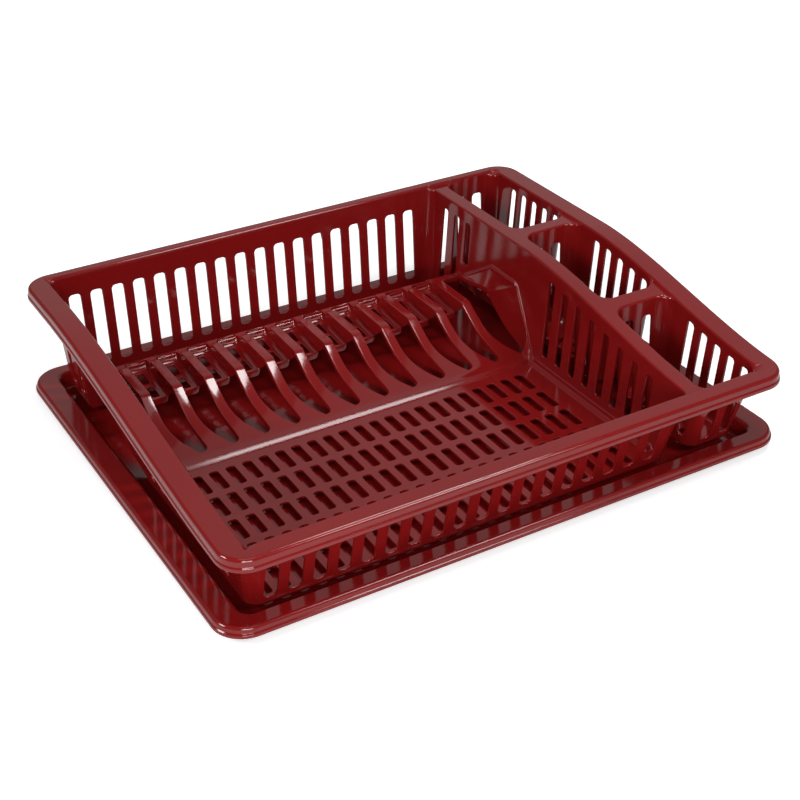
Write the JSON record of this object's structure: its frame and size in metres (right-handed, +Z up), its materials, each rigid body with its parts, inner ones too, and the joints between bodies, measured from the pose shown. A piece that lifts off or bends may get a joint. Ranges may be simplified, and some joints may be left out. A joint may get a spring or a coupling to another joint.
{
  "type": "plastic dish rack",
  "caption": "Low moulded dish rack with a plate section of hollow ribs, an open basket and cutlery bays, standing in its own shallow drip tray.",
  "frame": {"origin": "on the worktop, under the centre of the whole object's bounding box", "axes": "+X along the length towards the cutlery bays, +Y from the low front to the high back, +Z up"},
  "size_m": [0.48, 0.3994, 0.1033],
  "materials": {
    "rack_plastic": "gloss",
    "tray_plastic": "gloss"
  },
  "bodies": {
    "tray": {"drip_tray": "tray_plastic"},
    "rack": {"dish_rack": "rack_plastic"}
  },
  "joints": [
    {"name": "rack_lift", "type": "slide", "parent": "tray", "child": "rack", "axis": [0, 0, 1], "range_m": [0, 0.12]}
  ]
}
